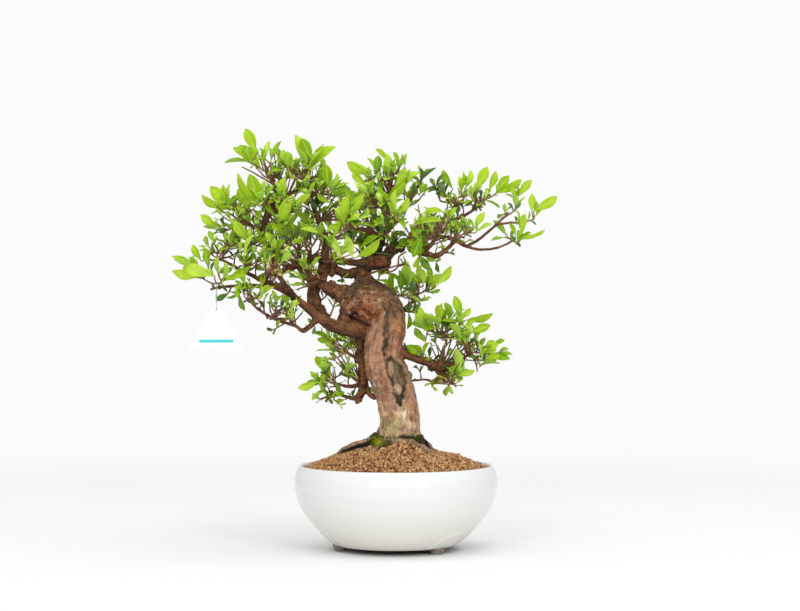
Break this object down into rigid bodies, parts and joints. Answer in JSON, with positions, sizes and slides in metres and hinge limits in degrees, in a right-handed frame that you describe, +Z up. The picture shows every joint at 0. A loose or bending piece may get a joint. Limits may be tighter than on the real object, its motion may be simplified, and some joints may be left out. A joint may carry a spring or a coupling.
{
  "type": "satsuki azalea bonsai",
  "caption": "Small azalea bonsai: a crooked old trunk with leafy sprays, rooted in granular soil in a round glazed bowl on feet.",
  "frame": {"origin": "middle of the whole object's footprint, on the plane that the bowl's feet stand on", "axes": "+Z up; +X to the right and -Y towards a viewer of the tree's front, which shows the cleft down the trunk"},
  "size_m": [0.3776, 0.204, 0.4166],
  "materials": {
    "glaze": "glossy white glaze with a faint grey-green cast",
    "netting": "black plastic drainage mesh",
    "granules": "dry fired-clay granules, tan to orange, with patches of moss",
    "bark": "rough, furrowed grey-brown bark",
    "foliage": "satin young leaves, yellow-green, over darker old leaves and reddish twigs",
    "label": "smooth white plastic, unprinted",
    "steel": "thin dull wire"
  },
  "bodies": {
    "root": {"bowl": "glaze", "drain_screen": "netting", "soil": "granules", "trunk_and_branches": "bark", "spray_01": "foliage", "spray_02": "foliage", "spray_03": "foliage", "spray_04": "foliage", "spray_05": "foliage", "spray_06": "foliage", "spray_07": "foliage", "spray_08": "foliage", "spray_09": "foliage", "spray_10": "foliage", "spray_11": "foliage", "spray_12": "foliage", "spray_13": "foliage", "spray_14": "foliage", "spray_15": "foliage", "spray_16": "foliage", "spray_17": "foliage", "spray_18": "foliage", "spray_19": "foliage", "spray_20": "foliage", "spray_21": "foliage", "spray_22": "foliage", "spray_23": "foliage", "spray_24": "foliage", "spray_25": "foliage", "spray_26": "foliage", "spray_27": "foliage", "spray_28": "foliage", "spray_29": "foliage", "spray_30": "foliage", "spray_31": "foliage", "spray_32": "foliage", "spray_33": "foliage", "spray_34": "foliage", "spray_35": "foliage", "spray_36": "foliage", "spray_37": "foliage", "spray_38": "foliage", "spray_39": "foliage", "spray_40": "foliage", "spray_41": "foliage", "spray_42": "foliage", "spray_43": "foliage", "spray_44": "foliage", "spray_45": "foliage", "spray_46": "foliage", "spray_47": "foliage", "spray_48": "foliage", "spray_49": "foliage", "spray_50": "foliage", "spray_51": "foliage", "spray_52": "foliage", "spray_53": "foliage", "spray_54": "foliage", "tag": "label", "tag_wire": "steel"}
  },
  "joints": []
}
